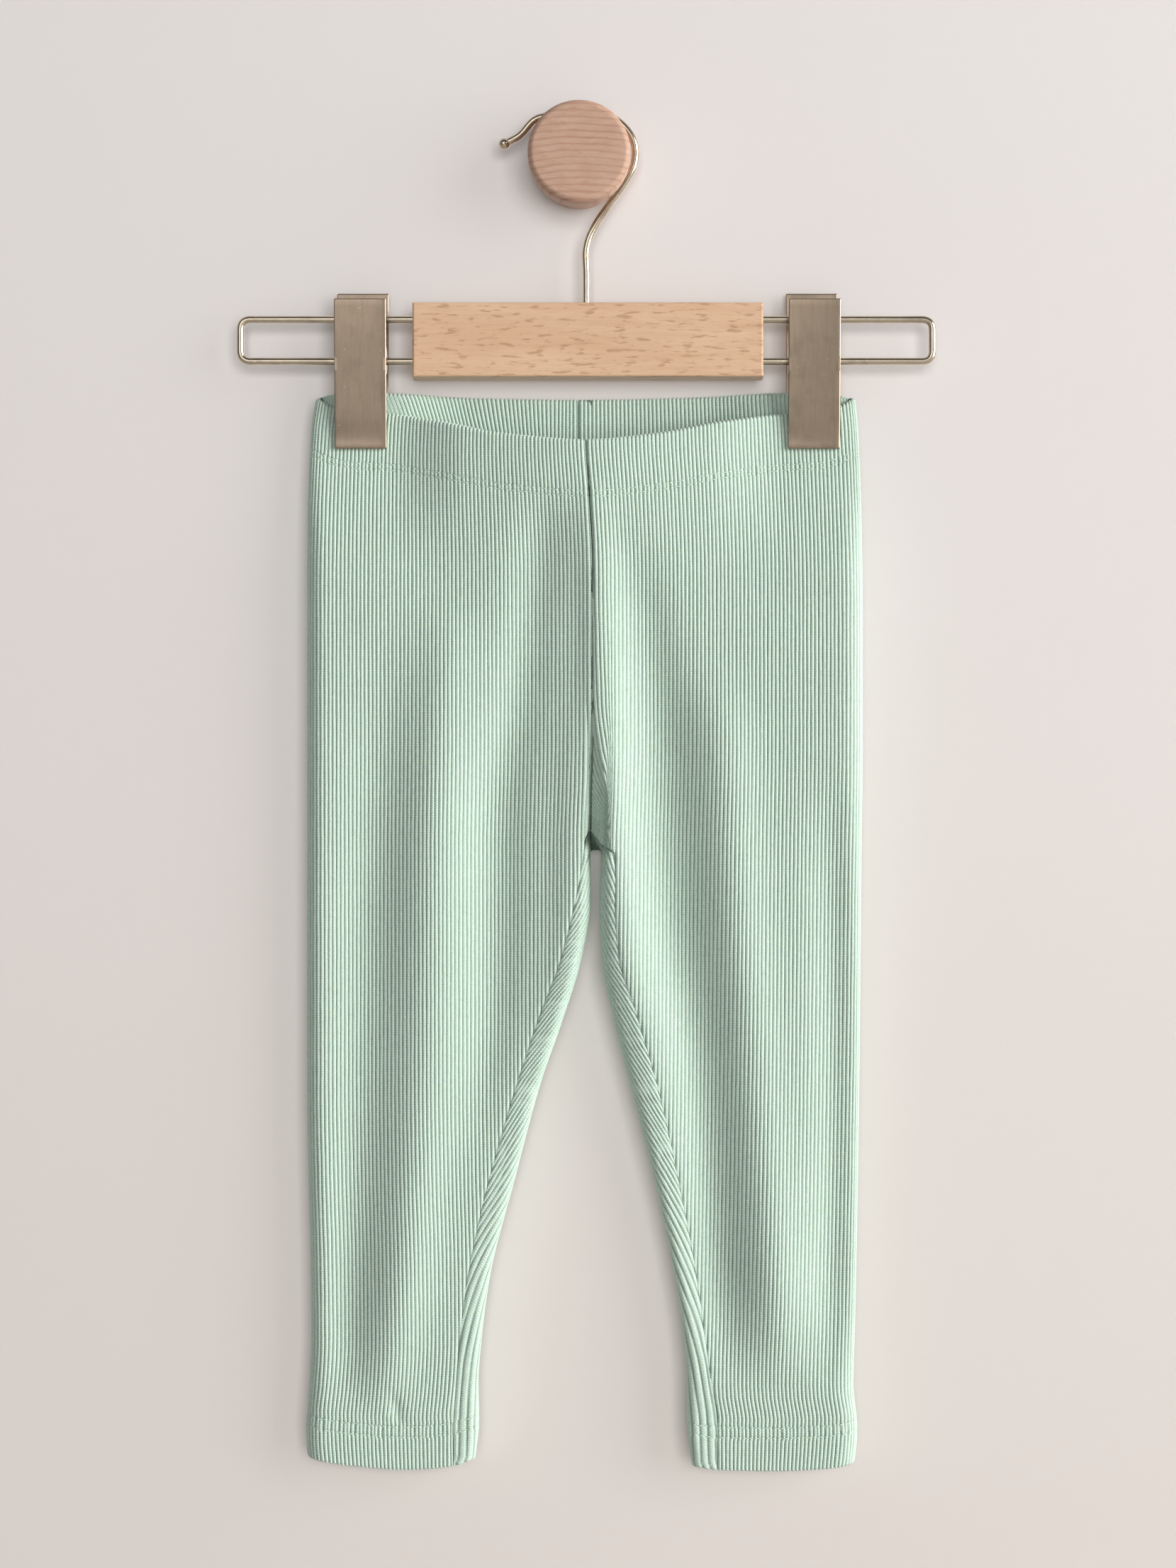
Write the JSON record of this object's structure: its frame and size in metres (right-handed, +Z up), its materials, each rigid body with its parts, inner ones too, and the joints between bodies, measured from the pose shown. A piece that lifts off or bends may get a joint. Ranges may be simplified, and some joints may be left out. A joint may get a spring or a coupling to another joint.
{
  "type": "ribbed leggings on a clip hanger",
  "caption": "Toddler's ribbed knit leggings, hollow and flat, hung by the waistband from the clips of a wooden bar hanger whose wire hook rests on a round wooden wall knob.",
  "frame": {"origin": "centre of the wall knob's flat back face, on the wall plane", "axes": "+Z up, +Y into the wall (out of the knob's back face), -Y towards the viewer, +X to the viewer's right and the wearer's left"},
  "size_m": [0.3027, 0.034, 0.5887],
  "materials": {
    "rib_knit": "matt",
    "beech": "satin",
    "knob_wood": "matt end grain",
    "nickel": "brushed",
    "wire": "polished, warm"
  },
  "bodies": {
    "root": {"knob": "knob_wood", "hook": "wire", "block": "beech", "waistband_right": "rib_knit", "waistband_left": "rib_knit", "leg_right": "rib_knit", "leg_left": "rib_knit", "hem_right": "rib_knit", "hem_left": "rib_knit", "wire_right": "wire", "wire_left": "wire", "clip_front_right": "nickel", "clip_front_left": "nickel", "clip_rear_right": "nickel", "clip_rear_left": "nickel", "clip_spring_right": "nickel", "clip_spring_left": "nickel"}
  },
  "joints": []
}
